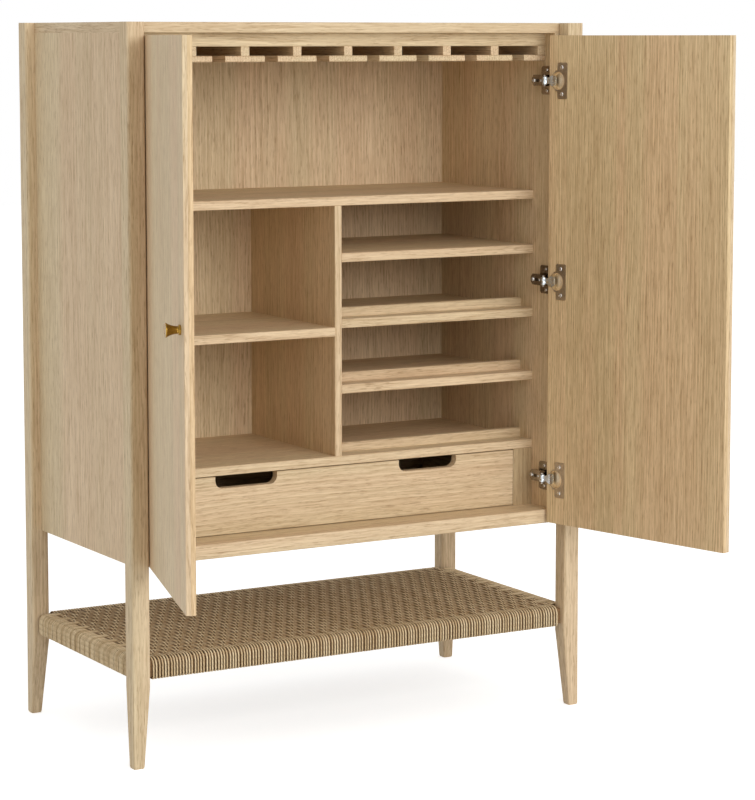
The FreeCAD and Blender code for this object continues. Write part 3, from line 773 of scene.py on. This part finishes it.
def warp_paths(rng):
    """Strands from front to back."""
    front = wrap("front")
    entry = FIRST_Y - WARP_ENTRY * ROW_PITCH
    paths = []
    for i in range(PAIRS):
        for k in (-0.5, 0.5):
            x = FIRST_X + i * PAIR_PITCH + k * IN_PAIR + (PAIR_LEAN if i % 2 else -PAIR_LEAN)
            slack = rng.uniform(-SLACK, SLACK)
            half = [(slack * reach / RAIL_OUT["front"], reach, z) for reach, z in front]
            run = [(x + shift, -reach, z) for shift, reach, z in half]
            run.append((x, entry, ON_RAIL))
            for j in range(ROWS * WARP_STEPS):
                phase = (j - 2) / WARP_STEPS
                lift = (1 if i % 2 else -1) * swell(phase) + rng.uniform(-STRAY, STRAY)
                run.append((x, FIRST_Y + phase * ROW_PITCH, MIDDLE + WARP_SWING * lift))
            run.append((x, -entry, ON_RAIL))
            run += [(x - shift, reach, z) for shift, reach, z in reversed(half)]
            paths.append(run)
    return np.array(paths)


def weft_paths(rng):
    """Strands from side to side. They fan out where they climb the rails."""
    side = wrap("side")
    entry = FIRST_X - WEFT_ENTRY * PAIR_PITCH
    paths = []
    for j in range(ROWS):
        for k in (-1.5, -0.5, 0.5, 1.5):
            y = FIRST_Y + j * ROW_PITCH + k * IN_ROW
            slack = rng.uniform(-SLACK, SLACK)
            half = [(slack + FAN * k * climb(z), reach, z) for reach, z in side]
            run = [(-reach, y + shift, z) for shift, reach, z in half]
            run.append((entry, y, ON_RAIL))
            for i in range(PAIRS * WEFT_STEPS):
                phase = (i - 1) / WEFT_STEPS
                lift = (1 if j % 2 else -1) * -swell(phase) + rng.uniform(-STRAY, STRAY)
                # Beside the rails a row that passes over stays as high as the rail.
                near_rail = min(phase, PAIRS - 1 - phase) < 0.5
                high = ON_RAIL - MIDDLE - WEFT_SWING if near_rail else 0.0
                z = MIDDLE + WEFT_SWING * lift + high * max(lift, 0.0)
                run.append((FIRST_X + phase * PAIR_PITCH, y, z))
            run.append((-entry, y, ON_RAIL))
            run += [(reach, y + shift, z) for shift, reach, z in reversed(half)]
            paths.append(run)
    return np.array(paths)


def tubes(paths, across, first):
    """Closed strands along paths that end where they start, an array of strand, point, xyz. Gives points,
    faces and the map."""
    count, n = paths.shape[:2]
    tangent = np.gradient(paths, axis=1)
    tangent /= np.linalg.norm(tangent, axis=2, keepdims=True)
    side = np.broadcast_to(np.array(across, float), paths.shape)
    side = side - (side * tangent).sum(2, keepdims=True) * tangent
    side /= np.linalg.norm(side, axis=2, keepdims=True)
    up = np.cross(tangent, side)
    angle = (2 * math.pi * np.arange(STRAND_SIDES) / STRAND_SIDES)[:, None]
    ring = side[:, :, None] * np.cos(angle) + up[:, :, None] * np.sin(angle)
    verts = (paths[:, :-1, None] + STRAND * ring[:, :-1]) * MM
    steps = np.linalg.norm(np.diff(paths, axis=1), axis=2)
    length = np.concatenate([np.zeros((count, 1)), np.cumsum(steps, 1)], 1) * MM
    s, p, k = np.meshgrid(np.arange(count), np.arange(n - 1), np.arange(STRAND_SIDES), indexing="ij")
    here = (s * (n - 1) + p) * STRAND_SIDES
    ahead = (s * (n - 1) + (p + 1) % (n - 1)) * STRAND_SIDES
    k2 = (k + 1) % STRAND_SIDES
    quads = np.stack([here + k, here + k2, ahead + k2, ahead + k], -1).reshape(-1, 4)
    u0, u1 = length[s, p], length[s, p + 1]
    part = (1 - 2 * MAP_MARGIN) / STRAND_SIDES
    v0, v1 = [first + s + MAP_MARGIN + turn * part for turn in (k, k + 1)]
    chart = np.stack([np.stack(c, -1) for c in ((u0, v0), (u0, v1), (u1, v1), (u1, v0))], -2)
    return verts.reshape(-1, 3), quads, chart.reshape(-1, 2)


def weave():
    rng = random.Random(WEAVE_SEED)
    warps = warp_paths(rng)
    wefts = weft_paths(rng)
    verts, quads, chart = tubes(warps, (-1, 0, 0), 0)
    weft_verts, weft_quads, weft_chart = tubes(wefts, (0, 1, 0), len(warps))
    quads = np.concatenate([quads, weft_quads + len(verts)])
    verts = np.concatenate([verts, weft_verts])
    chart = np.concatenate([chart, weft_chart])
    mesh = bpy.data.meshes.new("woven_cords")
    mesh.vertices.add(len(verts))
    mesh.vertices.foreach_set("co", verts.ravel())
    mesh.loops.add(quads.size)
    mesh.loops.foreach_set("vertex_index", quads.ravel().astype(np.int32))
    mesh.polygons.add(len(quads))
    mesh.polygons.foreach_set("loop_start", np.arange(0, quads.size, 4, dtype=np.int32))
    mesh.update(calc_edges=True)
    mesh.polygons.foreach_set("use_smooth", [True] * len(quads))
    mesh.uv_layers.new(name="strand").data.foreach_set("uv", chart.ravel())
    mesh.validate()
    settle("woven_cords", mesh, cord, "cabinet", replaces=("woven_shelf",))


weave()

# Floor, light and camera.
FLOOR_HALF = 14
FLOOR_TONE, DUST_TONE = (240, 240, 239), (236, 236, 235)
FLOOR_DUST = (3.0, 3.0, 3.0)
FLOOR_GLOW = 0.62
WORLD_LIGHT = 0.60
WORLD_SHOWN = 1.0
LAMP_TARGET = (0.0, 0.0, 0.6)
SENSOR = 36
FRAME_HEIGHT = 800
FOCAL_PIXELS = 2679.0
LENS_SHIFT = -0.09
CAMERA_SPOT = (-2.3006, -4.2367, 1.2243)
CAMERA_PITCH = math.radians(90 - 6.191)
CAMERA_YAW = math.radians(-30.102)
SEEN_RAYS = ("Is Camera Ray", "Is Glossy Ray", "Is Transmission Ray")


def floor():
    """A pale floor that shows white to the eye and in reflections, and keeps the shadow."""
    s = Shader("studio_floor")
    dust = s.span(s.noise(s.place(), FLOOR_DUST, 3.0, 0.5), 0.3, 0.7)
    s.set(Base_Color=s.mix(dust, tint(*FLOOR_TONE), tint(*DUST_TONE)), Roughness=0.85)
    rays = s.add("ShaderNodeLightPath")
    seen, *others = [rays.outputs[kind] for kind in SEEN_RAYS]
    for other in others:
        seen = s.math("MAXIMUM", seen, other)
    s.set(Emission_Color=(1.0, 1.0, 1.0, 1.0), Emission_Strength=s.math("MULTIPLY", seen, FLOOR_GLOW))
    mesh = bpy.data.meshes.new("floor")
    corners = [(x * FLOOR_HALF, y * FLOOR_HALF, 0) for x, y in ((-1, -1), (1, -1), (1, 1), (-1, 1))]
    mesh.from_pydata(corners, [], [(0, 1, 2, 3)])
    mesh.materials.append(s.material)
    obj = bpy.data.objects.new("floor", mesh)
    bpy.context.scene.collection.objects.link(obj)


def studio():
    """A world that shows white and lights the part less strongly."""
    world = bpy.data.worlds.new("studio")
    bpy.context.scene.world = world
    world.use_nodes = True
    tree = world.node_tree
    back = tree.nodes["Background"]
    back.inputs["Color"].default_value = (1.0, 1.0, 1.0, 1.0)
    rays = tree.nodes.new("ShaderNodeLightPath")
    seen, *others = [rays.outputs[kind] for kind in SEEN_RAYS]
    for other in others:
        either = tree.nodes.new("ShaderNodeMath")
        either.operation = "MAXIMUM"
        tree.links.new(seen, either.inputs[0])
        tree.links.new(other, either.inputs[1])
        seen = either.outputs[0]
    level = tree.nodes.new("ShaderNodeMapRange")
    tree.links.new(seen, level.inputs["Value"])
    level.inputs["To Min"].default_value = WORLD_LIGHT
    level.inputs["To Max"].default_value = WORLD_SHOWN
    tree.links.new(level.outputs[0], back.inputs["Strength"])


def lamp(name, spot, size, power):
    data = bpy.data.lights.new(name, "AREA")
    data.shape = "RECTANGLE"
    data.size, data.size_y = size
    data.energy = power
    obj = bpy.data.objects.new(name, data)
    obj.location = spot
    obj.rotation_euler = (Vector(LAMP_TARGET) - Vector(spot)).to_track_quat("-Z", "Y").to_euler()
    bpy.context.scene.collection.objects.link(obj)


def camera():
    data = bpy.data.cameras.new("camera")
    data.lens = FOCAL_PIXELS * SENSOR / FRAME_HEIGHT
    data.sensor_width = SENSOR
    data.shift_y = LENS_SHIFT
    data.clip_end = 100
    obj = bpy.data.objects.new("camera", data)
    obj.location = CAMERA_SPOT
    obj.rotation_euler = (CAMERA_PITCH, 0.0, CAMERA_YAW)
    bpy.context.scene.collection.objects.link(obj)
    bpy.context.scene.camera = obj


floor()
studio()
lamp("key", spot=(0.2, -4.8, 2.3), size=(3.4, 2.2), power=113.0)
lamp("side_fill", spot=(-4.2, -0.2, 2.2), size=(2.4, 2.4), power=8.5)
camera()
bpy.context.scene.view_settings.view_transform = "Standard"
